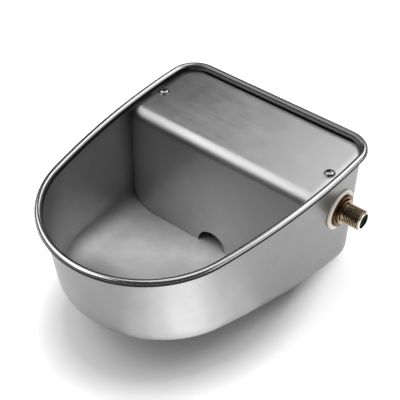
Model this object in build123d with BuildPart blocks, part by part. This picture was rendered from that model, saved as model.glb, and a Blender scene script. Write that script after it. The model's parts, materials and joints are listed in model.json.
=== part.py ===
from build123d import *
from math import acos, atan2, cos, degrees, radians, sin, sqrt, tan
import os

os.makedirs("parts", exist_ok=True)

# A wall-hung livestock drinking bowl with a float valve. Millimetres, rim level, +Z up.
# +Y points to the wall, +X to the water inlet. The origin is on the outside of the back
# wall, midway between the two wall bolts.

# Rolled rim, over the outer edge of its bead
rim_height = 45.0
rim_width = 240.0
rim_length = 308.0
rim_front_share = 0.86667
rim_side_share = 6.71667
rim_corner_radius = 30.0
bead_diameter = 7.0
bead_curl = 300.0

# Bowl, pressed from one sheet
sheet = 1.0
bowl_depth = 155.0
side_draft = 0.5
front_rake = 6.5
floor_slope = 11.5
floor_corner_radius = 25.5
foot_front_step = 7.5
foot_corner_extra = 6.0

# Bolts to the wall
wall_hole_spacing = 140.0
wall_hole_diameter = 8.5

# Cover over the float, a bent plate
cover_drop = 7.5
cover_sheet = 1.0
cover_clearance = 0.5
cover_back_gap = 2.2
cover_front_distance = 99.6
cover_lean = 3.0
cover_bend_radius = 13.0
cover_corner_radius = 31.0
notch_radius = 18.0

# Cover screws, M5, each in a bracket with a weld nut
screw_wall_distance = 9.7
screw_distance = 57.0
screw_diameter = 5.0
screw_length = 11.0
screw_head_diameter = 10.2
screw_head_height = 3.2
screw_crown_radius = 2.2
screw_recess_width = 1.3
screw_recess_depth = 1.6
screw_hole_clearance = 0.25
bracket_sheet = 1.5
bracket_width = 20.0
bracket_reach = 9.0
bracket_leg = 17.0
nut_width = 8.0
nut_height = 4.0

# Water inlet, G 1/2 thread
inlet_distance = 47.8
inlet_depth_share = 0.34581
thread_diameter = 20.955
inlet_hole_clearance = 0.4
stub_length = 20.8
stub_chamfer = 2.0
stub_bore = 15.0
step_diameter = 27.0
step_height = 2.2
flange_diameter = 34.5
flange_height = 3.0
washer_diameter = 42.5
washer_height = 2.2
gasket_diameter = 34.0
gasket_height = 2.6
lock_nut_width = 27.0
lock_nut_height = 6.0
spigot_length = 13.0
spigot_bore = 11.0
strainer_length = 26.0
strainer_wall = 1.1
strainer_slots = 6
strainer_slot_width = 2.4

# Valve, screwed on the inner end of the inlet
valve_gap = 1.0
valve_diameter = 24.0
socket_diameter = 28.0
socket_length = 15.0
piston_diameter = 14.0
running_clearance = 0.05
seat_travel_gap = 0.3
nozzle_flange = 2.0
nozzle_reach = 6.0
nozzle_diameter = 9.0
nozzle_bore = 5.0
nozzle_tip_rim = 1.0
nozzle_tip_taper = 1.0
piston_length = 26.5
piston_washer_diameter = 10.0
piston_washer_height = 3.0
piston_washer_proud = 0.5
outlet_diameter = 9.0
cap_height = 4.0
cap_spigot = 2.4
cap_vent = 3.0
cap_chamfer = 1.0
cap_slot_width = 2.0
cap_slot_depth = 1.5

# Float lever and its pivot
pivot_drop = 17.0
pivot_distance = 45.6
lever_swing = 20.0
lever_thickness = 6.4
lever_side_clearance = 0.3
ear_thickness = 4.0
ear_radius = 6.0
pivot_diameter = 4.0
pin_head_diameter = 6.5
pin_head_height = 1.5
pin_tail = 3.6
split_pin_wire = 0.7
split_pin_eye = 1.4
split_pin_tail = 2.2
hub_radius = 5.4
finger_tip_radius = 3.0
finger_neck_width = 3.2
finger_slot_clearance = 0.3
lever_boss_diameter = 8.0
lever_boss_reach = 17.0
lever_socket = 8.0
rod_diameter = 5.0
rod_nut_width = 8.0
rod_nut_height = 3.5

# Float, two plastic shells closed at a seam
float_arm = 90.0
float_diameter = 76.0
float_upper_height = 20.0
float_floor_room = 27.62
float_seam_drop = 8.0
float_wall = 1.8
float_edge_share = 0.61
float_seam_rib = 1.2
float_boss_diameter = 13.0
float_boss_reach = 5.0
float_boss_depth = 9.0

# Places that follow from the sizes
rim_front_radius = rim_front_share * rim_width / 2
rim_side_radius = rim_side_share * rim_width / 2
foot_front_radius = rim_front_radius - foot_front_step
bead_radius = bead_diameter / 2
wall_inset = bead_diameter - sheet
wall_top = rim_height - bead_radius
foot_level = rim_height - bowl_depth - sheet
wall_drop = wall_top - foot_level
floor_normal = (0, sin(radians(floor_slope)), cos(radians(floor_slope)))
floor_plane = Plane((0, 0, rim_height - bowl_depth), x_dir=(1, 0, 0), z_dir=floor_normal)
cover_top = rim_height - cover_drop
cover_under = cover_top - cover_sheet
screw_x = rim_width / 2 - wall_inset - sheet - screw_wall_distance
screw_y = -screw_distance
inlet_y = -inlet_distance
inlet_z = rim_height - inlet_depth_share * bowl_depth
side_turn = acos((rim_side_share - 1) / (rim_side_share - rim_front_share))
side_centre_y = (
    wall_inset - rim_length + rim_front_radius + (rim_side_radius - rim_front_radius) * sin(side_turn)
)
side_bow = rim_side_radius - sqrt(rim_side_radius**2 - (inlet_y - side_centre_y) ** 2)
side_narrowing = (wall_top - inlet_z) * tan(radians(side_draft))
inlet_wall_x = rim_width / 2 - wall_inset - side_bow - side_narrowing
inlet_plane = Plane((0, inlet_y, inlet_z), x_dir=(1, 0, 0), z_dir=(0, -1, 0))
inlet_axis = Axis((0, inlet_y, inlet_z), (1, 0, 0))
stub_radius = thread_diameter / 2


def bowl_outline(level, half_width, tip, front_radius, side_radius, corner_radius, back):
    """D-shaped face at a level: straight back, bowed sides, round front, all tangent."""
    reach = side_radius - front_radius
    front_turn = acos((side_radius - half_width) / reach)
    side_x = half_width - side_radius
    side_y = tip + front_radius + reach * sin(front_turn)
    corner_y = back - corner_radius
    corner_x = side_x + sqrt((side_radius - corner_radius) ** 2 - (corner_y - side_y) ** 2)
    corner_turn = atan2(corner_y - side_y, corner_x - side_x)
    with BuildSketch(Plane.XY.offset(level)) as outline:
        with BuildLine():
            straight = Line((0, back), (corner_x, back))
            corner = JernArc(straight @ 1, straight % 1, corner_radius, degrees(corner_turn) - 90)
            side = JernArc(corner @ 1, corner % 1, side_radius, -degrees(corner_turn + front_turn))
            JernArc(side @ 1, side % 1, front_radius, degrees(front_turn) - 90)
            mirror(about=Plane.YZ)
        make_face()
    return outline.sketch


def rim_outline(inset, level):
    """Outline that lies `inset` inside the outer edge of the rim's bead."""
    return bowl_outline(
        level,
        rim_width / 2 - inset,
        wall_inset + inset - rim_length,
        rim_front_radius - inset,
        rim_side_radius - inset,
        rim_corner_radius - inset,
        wall_inset - inset,
    )


def foot_outline(inset):
    """Outline of the drafted walls at the foot, `inset` inside their outer face."""
    narrowing = wall_drop * tan(radians(side_draft))
    return bowl_outline(
        foot_level,
        rim_width / 2 - wall_inset - narrowing - inset,
        2 * wall_inset - rim_length + wall_drop * tan(radians(front_rake)) + inset,
        foot_front_radius - inset,
        rim_side_radius - wall_inset - narrowing - inset,
        floor_corner_radius + foot_corner_extra - inset,
        -inset,
    )


def bowl_form(inset):
    """Solid block with the shape of the bowl, `inset` inside its outer skin."""
    with BuildPart() as form:
        add(rim_outline(wall_inset + inset, wall_top))
        add(foot_outline(inset))
        loft(ruled=True)
        split(bisect_by=floor_plane.offset(inset), keep=Keep.TOP)
        floor_face = form.faces().filter_by(floor_plane)[0]
        fillet(floor_face.edges(), radius=floor_corner_radius - inset)
    return form.part


outer_form = bowl_form(0)
inner_form = bowl_form(sheet)
cover_form = bowl_form(sheet + cover_clearance)

# Rim of the bowl: the sheet curled outwards into a hollow bead, swept round half and mirrored
with BuildPart() as rim_bead:
    with BuildLine() as bead_line:
        add(rim_outline(bead_radius, wall_top).wire())
        split(bisect_by=Plane.YZ, keep=Keep.TOP)
    with BuildSketch(Plane.YZ) as curl:
        with BuildLine():
            curl_centre = (wall_inset - bead_radius, wall_top)
            outer_curl = CenterArc(curl_centre, bead_radius, 180, -bead_curl)
            inner_curl = CenterArc(curl_centre, bead_radius - sheet, 180, -bead_curl)
            Line(outer_curl @ 0, inner_curl @ 0)
            Line(outer_curl @ 1, inner_curl @ 1)
        make_face()
    sweep(path=bead_line.line)
    mirror(about=Plane.YZ)

# Bowl shell: the pressed sheet, its curled rim, the inlet hole and the wall bolt holes
with BuildPart() as bowl_shell:
    add(outer_form)
    add(inner_form, mode=Mode.SUBTRACT)
    add(rim_bead.part)
    with BuildSketch(Plane.XZ):
        with GridLocations(wall_hole_spacing, 1, 2, 1):
            Circle(wall_hole_diameter / 2)
    extrude(amount=2 * sheet, both=True, mode=Mode.SUBTRACT)
    with BuildSketch(Plane.YZ.offset(inlet_wall_x)):
        with Locations((inlet_y, inlet_z)):
            Circle(stub_radius + inlet_hole_clearance)
    extrude(amount=4 * sheet, both=True, mode=Mode.SUBTRACT)
bowl_shell.part.label = "bowl_shell"
export_step(bowl_shell.part, "parts/bowl_shell.step")

# Cover plate: bent over the float, its edges cut to follow the inside of the bowl
cover_foot = foot_level
cover_foot_y = -cover_front_distance - (cover_top - cover_foot) * tan(radians(cover_lean))
notch_y = -cover_front_distance - bowl_depth / 2 * tan(radians(cover_lean))
foot_narrowing = wall_drop * tan(radians(side_draft))
cover_half = rim_width / 2 - wall_inset - sheet - cover_clearance - foot_narrowing
with BuildPart() as cover_plate:
    with BuildSketch(Plane.YZ):
        with BuildLine():
            bend = FilletPolyline(
                (-sheet - cover_back_gap, cover_top),
                (-cover_front_distance, cover_top),
                (cover_foot_y, cover_foot),
                radius=cover_bend_radius,
            )
            offset(bend, amount=cover_sheet, side=Side.LEFT, closed=True)
        make_face()
    extrude(amount=rim_width / 2, both=True)
    add(cover_form, mode=Mode.INTERSECT)
    plate_foot = cover_plate.vertices().sort_by(Axis.Z)[0]
    with BuildSketch(Plane.XZ.offset(-notch_y)):
        with Locations((0, plate_foot.Z)):
            Circle(notch_radius)
    extrude(amount=notch_radius, both=True, mode=Mode.SUBTRACT)
    with BuildSketch(Plane.XZ.offset(-notch_y)):
        with Locations((0, plate_foot.Z)):
            Rectangle(2 * cover_half, 2 * cover_corner_radius)
            with GridLocations(2 * (cover_half - cover_corner_radius), 2 * cover_corner_radius, 2, 2):
                Circle(cover_corner_radius, mode=Mode.SUBTRACT)
            Rectangle(
                2 * (cover_half - cover_corner_radius), 2 * cover_corner_radius, mode=Mode.SUBTRACT
            )
    extrude(amount=notch_radius, both=True, mode=Mode.SUBTRACT)
    with BuildSketch(Plane.XY.offset(cover_top)):
        with Locations((0, screw_y)):
            with GridLocations(2 * screw_x, 1, 2, 1):
                Circle(screw_diameter / 2 + screw_hole_clearance)
    extrude(amount=-2 * cover_sheet, mode=Mode.SUBTRACT)
cover_plate.part.label = "cover_plate"
export_step(cover_plate.part, "parts/cover_plate.step")


def cover_fixing(side, hand):
    """Bracket on the side wall, the nut under it, and the screw that holds the cover."""
    place = (side * screw_x, screw_y)
    inner_wall = rim_width / 2 - wall_inset - sheet
    with BuildPart() as cover_bracket:
        with BuildSketch(Plane.XZ.offset(screw_distance)):
            with BuildLine():
                Polyline(
                    (side * (screw_x - bracket_reach), cover_under),
                    (side * rim_width / 2, cover_under),
                    (side * rim_width / 2, cover_under - bracket_leg),
                    (side * (inner_wall - bracket_sheet), cover_under - bracket_leg),
                    (side * (inner_wall - bracket_sheet), cover_under - bracket_sheet),
                    (side * (screw_x - bracket_reach), cover_under - bracket_sheet),
                    close=True,
                )
            make_face()
        extrude(amount=bracket_width / 2, both=True)
        add(inner_form, mode=Mode.INTERSECT)
        with BuildSketch(Plane.XY.offset(cover_under)):
            with Locations(place):
                Circle(screw_diameter / 2 + screw_hole_clearance)
        extrude(amount=-bracket_sheet, mode=Mode.SUBTRACT)
    cover_bracket.part.label = f"cover_bracket_{hand}"
    export_step(cover_bracket.part, f"parts/cover_bracket_{hand}.step")

    with BuildPart() as bracket_nut:
        with BuildSketch(Plane.XY.offset(cover_under - bracket_sheet)):
            with Locations(place):
                RegularPolygon(nut_width / 2, 6, major_radius=False)
                Circle(screw_diameter / 2 + running_clearance, mode=Mode.SUBTRACT)
        extrude(amount=-nut_height)
    bracket_nut.part.label = f"bracket_nut_{hand}"
    export_step(bracket_nut.part, f"parts/bracket_nut_{hand}.step")

    with BuildPart() as cover_screw:
        with BuildSketch(Plane.XY.offset(cover_top)):
            with Locations(place):
                Circle(screw_head_diameter / 2)
        extrude(amount=screw_head_height)
        crown = cover_screw.edges().sort_by(Axis.Z)[-1]
        fillet(crown, radius=screw_crown_radius)
        with BuildSketch(Plane.XY.offset(cover_top + screw_head_height)):
            with Locations(place):
                Rectangle(screw_head_diameter / 2, screw_recess_width)
                Rectangle(screw_recess_width, screw_head_diameter / 2)
        extrude(amount=-screw_recess_depth, mode=Mode.SUBTRACT)
        with BuildSketch(Plane.XY.offset(cover_top)):
            with Locations(place):
                Circle(screw_diameter / 2)
        extrude(amount=-screw_length)
    cover_screw.part.label = f"cover_screw_{hand}"
    export_step(cover_screw.part, f"parts/cover_screw_{hand}.step")


cover_fixing(-1, "left")
cover_fixing(1, "right")

# Inlet: stub and stepped flange outside, threaded spigot inside, washers cut to the wall
flange_inner_x = inlet_wall_x + washer_height
step_x = flange_inner_x + flange_height
stub_x = step_x + step_height
mouth_x = stub_x + stub_length
gasket_inner_x = inlet_wall_x - sheet - gasket_height
lock_nut_inner_x = gasket_inner_x - lock_nut_height
spigot_x = lock_nut_inner_x - spigot_length
strainer_x = mouth_x - strainer_length
with BuildPart() as inlet_stub:
    with BuildSketch(inlet_plane):
        with BuildLine():
            Polyline(
                (spigot_x, spigot_bore / 2),
                (spigot_x, stub_radius),
                (flange_inner_x, stub_radius),
                (flange_inner_x, flange_diameter / 2),
                (step_x, flange_diameter / 2),
                (step_x, step_diameter / 2),
                (stub_x, step_diameter / 2),
                (stub_x, stub_radius),
                (mouth_x - stub_chamfer, stub_radius),
                (mouth_x, stub_radius - stub_chamfer),
                (mouth_x, stub_bore / 2),
                (strainer_x, stub_bore / 2),
                (strainer_x, spigot_bore / 2),
                close=True,
            )
        make_face()
    revolve(axis=inlet_axis)
inlet_stub.part.label = "inlet_stub"
export_step(inlet_stub.part, "parts/inlet_stub.step")

with BuildPart() as inlet_strainer:
    with BuildSketch(Plane.YZ.offset(strainer_x)):
        with Locations((inlet_y, inlet_z)):
            Circle(stub_bore / 2 - running_clearance)
    extrude(amount=strainer_length - stub_chamfer)
    with BuildSketch(Plane.YZ.offset(strainer_x + strainer_wall)):
        with Locations((inlet_y, inlet_z)):
            Circle(stub_bore / 2 - running_clearance - strainer_wall)
    extrude(amount=strainer_length, mode=Mode.SUBTRACT)
    with BuildSketch(Plane.YZ.offset(strainer_x)):
        with Locations((inlet_y, inlet_z)):
            with PolarLocations(spigot_bore / 4, strainer_slots):
                Circle(strainer_slot_width / 2)
    extrude(amount=strainer_wall, mode=Mode.SUBTRACT)
inlet_strainer.part.label = "inlet_strainer"
export_step(inlet_strainer.part, "parts/inlet_strainer.step")

with BuildPart() as outer_washer:
    with BuildSketch(Plane.YZ.offset(flange_inner_x)):
        with Locations((inlet_y, inlet_z)):
            Circle(washer_diameter / 2)
            Circle(stub_radius + inlet_hole_clearance, mode=Mode.SUBTRACT)
    extrude(amount=-2 * washer_height)
    add(outer_form, mode=Mode.SUBTRACT)
outer_washer.part.label = "outer_washer"
export_step(outer_washer.part, "parts/outer_washer.step")

with BuildPart() as inner_gasket:
    with BuildSketch(Plane.YZ.offset(gasket_inner_x)):
        with Locations((inlet_y, inlet_z)):
            Circle(gasket_diameter / 2)
            Circle(stub_radius + running_clearance, mode=Mode.SUBTRACT)
    extrude(amount=2 * gasket_height)
    add(inner_form, mode=Mode.INTERSECT)
inner_gasket.part.label = "inner_gasket"
export_step(inner_gasket.part, "parts/inner_gasket.step")

with BuildPart() as lock_nut:
    with BuildSketch(Plane.YZ.offset(gasket_inner_x)):
        with Locations((inlet_y, inlet_z)):
            RegularPolygon(lock_nut_width / 2, 6, major_radius=False)
            Circle(stub_radius + running_clearance, mode=Mode.SUBTRACT)
    extrude(amount=-lock_nut_height)
lock_nut.part.label = "lock_nut"
export_step(lock_nut.part, "parts/lock_nut.step")

# Valve: places along the inlet axis, from the spigot towards the float
socket_x = lock_nut_inner_x - valve_gap
nozzle_x = spigot_x - nozzle_flange
nozzle_tip_x = nozzle_x - nozzle_reach
pivot_x = inlet_wall_x - pivot_distance
pivot_z = inlet_z - pivot_drop
half_swing = radians(lever_swing) / 2
piston_travel = radians(lever_swing) * pivot_drop
piston_face_x = nozzle_tip_x - seat_travel_gap - piston_travel
piston_back_x = piston_face_x - piston_washer_proud - piston_length
cap_spigot_x = piston_back_x - seat_travel_gap
cap_x = cap_spigot_x - cap_spigot
finger_x = pivot_x - pivot_drop * sin(half_swing)
bore_radius = piston_diameter / 2 + running_clearance
socket_radius = stub_radius + running_clearance
lever_slot = lever_thickness + 2 * lever_side_clearance
pin_y = inlet_y - lever_slot / 2 - ear_thickness

with BuildPart() as valve_body:
    with BuildSketch(Plane.YZ.offset(cap_x)):
        with Locations((inlet_y, inlet_z)):
            Circle(valve_diameter / 2)
    extrude(amount=socket_x - cap_x)
    with BuildSketch(Plane.YZ.offset(socket_x)):
        with Locations((inlet_y, inlet_z)):
            Circle(socket_diameter / 2)
    extrude(amount=-socket_length)
    with BuildSketch(Plane.XZ.offset(inlet_distance)):
        with Locations((pivot_x, pivot_z)):
            Circle(ear_radius)
        with Locations((pivot_x, pivot_z + pivot_drop / 2)):
            Rectangle(2 * ear_radius, pivot_drop)
    extrude(amount=lever_slot / 2 + ear_thickness, both=True)
    with BuildSketch(Plane.XZ.offset(inlet_distance)):
        with Locations((pivot_x, pivot_z)):
            Circle(pivot_diameter / 2 + running_clearance)
    extrude(amount=valve_diameter, both=True, mode=Mode.SUBTRACT)
    with BuildSketch(Plane.XZ.offset(inlet_distance)):
        with Locations((pivot_x, pivot_z)):
            Rectangle(3 * ear_radius, 2 * pivot_drop)
    extrude(amount=lever_slot / 2, both=True, mode=Mode.SUBTRACT)
    with BuildSketch(Plane.YZ.offset(cap_x)):
        with Locations((inlet_y, inlet_z)):
            Circle(bore_radius)
    extrude(amount=socket_x - cap_x, mode=Mode.SUBTRACT)
    with BuildSketch(Plane.YZ.offset(nozzle_x)):
        with Locations((inlet_y, inlet_z)):
            Circle(socket_radius)
    extrude(amount=socket_x - nozzle_x, mode=Mode.SUBTRACT)
    with BuildSketch(Plane.XY.offset(inlet_z)):
        with Locations((nozzle_tip_x, inlet_y)):
            Circle(outlet_diameter / 2)
    extrude(amount=-valve_diameter, mode=Mode.SUBTRACT)
valve_body.part.label = "valve_body"
export_step(valve_body.part, "parts/valve_body.step")

with BuildPart() as seat_nozzle:
    with BuildSketch(inlet_plane):
        with BuildLine():
            Polyline(
                (nozzle_tip_x, nozzle_bore / 2),
                (nozzle_tip_x, nozzle_bore / 2 + nozzle_tip_rim),
                (nozzle_tip_x + nozzle_tip_taper, nozzle_diameter / 2),
                (nozzle_x, nozzle_diameter / 2),
                (nozzle_x, stub_radius),
                (spigot_x, stub_radius),
                (spigot_x, nozzle_bore / 2),
                close=True,
            )
        make_face()
    revolve(axis=inlet_axis)
seat_nozzle.part.label = "seat_nozzle"
export_step(seat_nozzle.part, "parts/seat_nozzle.step")

with BuildPart() as piston:
    with BuildSketch(Plane.YZ.offset(piston_back_x)):
        with Locations((inlet_y, inlet_z)):
            Circle(piston_diameter / 2)
    extrude(amount=piston_length)
    with BuildSketch(Plane.YZ.offset(piston_face_x)):
        with Locations((inlet_y, inlet_z)):
            Circle(piston_washer_diameter / 2)
    extrude(amount=-piston_washer_height, mode=Mode.SUBTRACT)
    with BuildSketch(Plane.XY.offset(inlet_z + finger_tip_radius + 2 * finger_slot_clearance)):
        with Locations((finger_x, inlet_y)):
            Rectangle(2 * (finger_tip_radius + finger_slot_clearance), lever_slot)
    extrude(amount=-piston_diameter, mode=Mode.SUBTRACT)
piston.part.label = "piston"
export_step(piston.part, "parts/piston.step")

with BuildPart() as piston_washer:
    with BuildSketch(Plane.YZ.offset(piston_face_x)):
        with Locations((inlet_y, inlet_z)):
            Circle(piston_washer_diameter / 2)
    extrude(amount=-piston_washer_height)
piston_washer.part.label = "piston_washer"
export_step(piston_washer.part, "parts/piston_washer.step")

with BuildPart() as valve_cap:
    with BuildSketch(Plane.YZ.offset(cap_x)):
        with Locations((inlet_y, inlet_z)):
            Circle(valve_diameter / 2)
    extrude(amount=-cap_height)
    chamfer(valve_cap.edges().sort_by(Axis.X)[0], length=cap_chamfer)
    with BuildSketch(Plane.YZ.offset(cap_x)):
        with Locations((inlet_y, inlet_z)):
            Circle(bore_radius - running_clearance)
    extrude(amount=cap_spigot)
    with BuildSketch(Plane.YZ.offset(cap_x - cap_height)):
        with Locations((inlet_y, inlet_z)):
            Rectangle(valve_diameter, cap_slot_width)
    extrude(amount=cap_slot_depth, mode=Mode.SUBTRACT)
    with BuildSketch(Plane.YZ.offset(cap_x)):
        with Locations((inlet_y, inlet_z)):
            Circle(cap_vent / 2)
    extrude(amount=cap_height, both=True, mode=Mode.SUBTRACT)
valve_cap.part.label = "valve_cap"
export_step(valve_cap.part, "parts/valve_cap.step")

# Pivot pin through both ears of the valve, kept in by a split pin
split_pin_y = pin_y - pin_tail / 2
with BuildPart() as pivot_pin:
    with BuildSketch(Plane.XZ.offset(-pin_y - lever_slot - 2 * ear_thickness)):
        with Locations((pivot_x, pivot_z)):
            Circle(pin_head_diameter / 2)
    extrude(amount=-pin_head_height)
    with BuildSketch(Plane.XZ.offset(-pin_y + pin_tail)):
        with Locations((pivot_x, pivot_z)):
            Circle(pivot_diameter / 2)
    extrude(amount=-pin_tail - lever_slot - 2 * ear_thickness)
    with BuildSketch(Plane.XY.offset(pivot_z)):
        with Locations((pivot_x, split_pin_y)):
            Circle(split_pin_wire + running_clearance)
    extrude(amount=pivot_diameter, both=True, mode=Mode.SUBTRACT)
pivot_pin.part.label = "pivot_pin"
export_step(pivot_pin.part, "parts/pivot_pin.step")

leg_x = pivot_x + split_pin_wire / 2 - running_clearance
eye_z = pivot_z + pivot_diameter / 2 + split_pin_eye + split_pin_wire
leg_end_z = pivot_z - pivot_diameter / 2 - split_pin_wire
with BuildPart() as split_pin:
    with BuildLine(Plane.XZ.offset(-split_pin_y)) as leg:
        Polyline(
            (leg_x, eye_z - split_pin_eye),
            (leg_x, leg_end_z),
            (leg_x + split_pin_tail, leg_end_z - split_pin_tail),
        )
    with BuildSketch(Plane.XY.offset(eye_z - split_pin_eye)):
        with Locations((leg_x, split_pin_y)):
            Circle(split_pin_wire / 2)
    sweep(path=leg.line, transition=Transition.ROUND)
    mirror(about=Plane.YZ.offset(pivot_x))
    with BuildSketch(Plane.XY.offset(eye_z)):
        with Locations((pivot_x + split_pin_eye, split_pin_y)):
            Circle(split_pin_wire / 2)
    revolve(axis=Axis((pivot_x, split_pin_y, eye_z), (0, 1, 0)))
split_pin.part.label = "split_pin"
export_step(split_pin.part, "parts/split_pin.step")

# Lever plane: origin on the pivot, X along the arm to the float, Y away from the water
arm_drop = radians(lever_swing)
lever_plane = Plane(
    (pivot_x, inlet_y, pivot_z), x_dir=(-cos(arm_drop), 0, -sin(arm_drop)), z_dir=(0, 1, 0)
)
arm_plane = Plane(lever_plane.origin, x_dir=(0, 1, 0), z_dir=lever_plane.x_dir)
finger_turn = 90 + lever_swing / 2
finger_tip = (
    pivot_drop * cos(radians(finger_turn)),
    pivot_drop * sin(radians(finger_turn)),
)

with BuildPart() as float_lever:
    with BuildSketch(lever_plane):
        Circle(hub_radius)
        with Locations(finger_tip):
            Circle(finger_tip_radius)
        with Locations((finger_tip[0] / 2, finger_tip[1] / 2)):
            Rectangle(pivot_drop, finger_neck_width, rotation=finger_turn)
        with Locations((lever_boss_reach / 2, 0)):
            Rectangle(lever_boss_reach, lever_thickness)
    extrude(amount=lever_thickness / 2, both=True)
    with BuildSketch(arm_plane.offset(lever_boss_reach - lever_socket)):
        Circle(lever_boss_diameter / 2)
    extrude(amount=lever_socket)
    with BuildSketch(arm_plane.offset(lever_boss_reach - lever_socket)):
        Circle(rod_diameter / 2)
    extrude(amount=lever_socket, mode=Mode.SUBTRACT)
    with BuildSketch(lever_plane):
        Circle(pivot_diameter / 2 + running_clearance)
    extrude(amount=lever_thickness, both=True, mode=Mode.SUBTRACT)
float_lever.part.label = "float_lever"
export_step(float_lever.part, "parts/float_lever.step")

boss_x = float_arm - float_diameter / 2 - float_boss_reach
rod_start = lever_boss_reach - lever_socket
with BuildPart() as float_rod:
    with BuildSketch(arm_plane.offset(rod_start)):
        Circle(rod_diameter / 2)
    extrude(amount=boss_x + float_boss_depth - rod_start)
float_rod.part.label = "float_rod"
export_step(float_rod.part, "parts/float_rod.step")

with BuildPart() as float_rod_nut:
    with BuildSketch(arm_plane.offset(boss_x)):
        RegularPolygon(rod_nut_width / 2, 6, major_radius=False)
        Circle(rod_diameter / 2, mode=Mode.SUBTRACT)
    extrude(amount=-rod_nut_height)
float_rod_nut.part.label = "float_rod_nut"
export_step(float_rod_nut.part, "parts/float_rod_nut.step")

# Float: each shell is turned about the float's own axis, which stands across the lever's arm
float_radius = float_diameter / 2
seam_v = -float_seam_drop
float_centre_z = pivot_z - float_arm * sin(arm_drop)
float_lower_height = float_centre_z - (rim_height - bowl_depth) - float_floor_room
float_edge_radius = float_edge_share * (float_lower_height - float_seam_drop)
float_axis = Axis(lever_plane.from_local_coords((float_arm, 0, 0)), lever_plane.y_dir)
boss_length = float_boss_reach + float_boss_depth + float_wall


def float_shell(end_v):
    """Hollow turned shell from the seam to its closed end, with a rib round the seam."""
    way = 1 if end_v > seam_v else -1
    with BuildPart() as shell:
        with BuildSketch(lever_plane):
            with BuildLine():
                outside = FilletPolyline(
                    (float_arm, end_v),
                    (float_arm + float_radius, end_v),
                    (float_arm + float_radius, seam_v + way * float_seam_rib),
                    radius=float_edge_radius,
                )
                rib = Polyline(
                    outside @ 1,
                    (float_arm + float_radius + float_seam_rib, seam_v + way * float_seam_rib),
                    (float_arm + float_radius + float_seam_rib, seam_v),
                    (float_arm + float_radius - float_wall, seam_v),
                )
                inside = FilletPolyline(
                    rib @ 1,
                    (float_arm + float_radius - float_wall, end_v - way * float_wall),
                    (float_arm, end_v - way * float_wall),
                    radius=float_edge_radius - float_wall,
                )
                Line(inside @ 1, outside @ 0)
            make_face()
        revolve(axis=float_axis)
    return shell.part


with BuildPart() as float_upper_shell:
    add(float_shell(float_upper_height))
    with BuildSketch(arm_plane.offset(boss_x)):
        Circle(float_boss_diameter / 2)
    extrude(amount=boss_length)
    with BuildSketch(arm_plane.offset(boss_x)):
        Circle(rod_diameter / 2)
    extrude(amount=float_boss_depth, mode=Mode.SUBTRACT)
float_upper_shell.part.label = "float_upper_shell"
export_step(float_upper_shell.part, "parts/float_upper_shell.step")

with BuildPart() as float_lower_shell:
    add(float_shell(-float_lower_height))
float_lower_shell.part.label = "float_lower_shell"
export_step(float_lower_shell.part, "parts/float_lower_shell.step")
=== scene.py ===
import json
import math

import bmesh
import bpy
import numpy as np
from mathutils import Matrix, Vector


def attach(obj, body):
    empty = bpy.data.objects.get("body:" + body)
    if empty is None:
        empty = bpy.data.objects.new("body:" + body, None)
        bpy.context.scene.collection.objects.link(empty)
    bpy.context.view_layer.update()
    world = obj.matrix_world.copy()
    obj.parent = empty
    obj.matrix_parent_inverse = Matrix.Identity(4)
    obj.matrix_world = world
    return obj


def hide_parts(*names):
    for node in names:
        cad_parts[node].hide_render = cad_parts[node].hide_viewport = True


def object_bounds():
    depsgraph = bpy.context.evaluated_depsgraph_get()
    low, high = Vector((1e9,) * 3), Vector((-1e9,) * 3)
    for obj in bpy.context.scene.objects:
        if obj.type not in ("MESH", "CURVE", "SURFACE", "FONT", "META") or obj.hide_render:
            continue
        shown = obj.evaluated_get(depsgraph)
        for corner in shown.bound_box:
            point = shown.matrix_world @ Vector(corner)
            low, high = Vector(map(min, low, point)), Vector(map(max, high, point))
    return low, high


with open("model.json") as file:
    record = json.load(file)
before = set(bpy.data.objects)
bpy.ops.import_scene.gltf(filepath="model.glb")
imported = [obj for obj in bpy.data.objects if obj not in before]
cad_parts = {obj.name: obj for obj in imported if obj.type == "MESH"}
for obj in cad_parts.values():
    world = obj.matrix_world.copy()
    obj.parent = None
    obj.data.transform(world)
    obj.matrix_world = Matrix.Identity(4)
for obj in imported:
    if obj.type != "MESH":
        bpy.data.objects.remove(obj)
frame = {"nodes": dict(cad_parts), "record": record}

MM = 0.001


def corners_of(bounds):
    """Lowest and highest corner as plain lists."""
    return [[float(c) for c in corner] for corner in bounds]


cad_size = corners_of(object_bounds())

# ---------------------------------------------------------------- camera

CAMERA_PLACE = (444.43, -669.81, 632.57)  # mm
CAMERA_TURN = 39.187  # degrees round the bowl, from straight in front
CAMERA_HEIGHT = 42.319  # degrees above level
CAMERA_LENS = 86.579
CAMERA_SENSOR = 36.0

camera_data = bpy.data.cameras.new("studio_camera")
camera_data.lens = CAMERA_LENS
camera_data.sensor_width = CAMERA_SENSOR
camera_data.clip_start = 0.01
camera_data.clip_end = 50.0
camera = bpy.data.objects.new("studio_camera", camera_data)
camera.location = Vector(CAMERA_PLACE) * MM
camera.rotation_euler = (
    math.radians(90.0 - CAMERA_HEIGHT),
    0.0,
    math.radians(CAMERA_TURN),
)
bpy.context.scene.collection.objects.link(camera)
bpy.context.scene.camera = camera

# ---------------------------------------------------------------- sizes, mm and degrees

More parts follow.
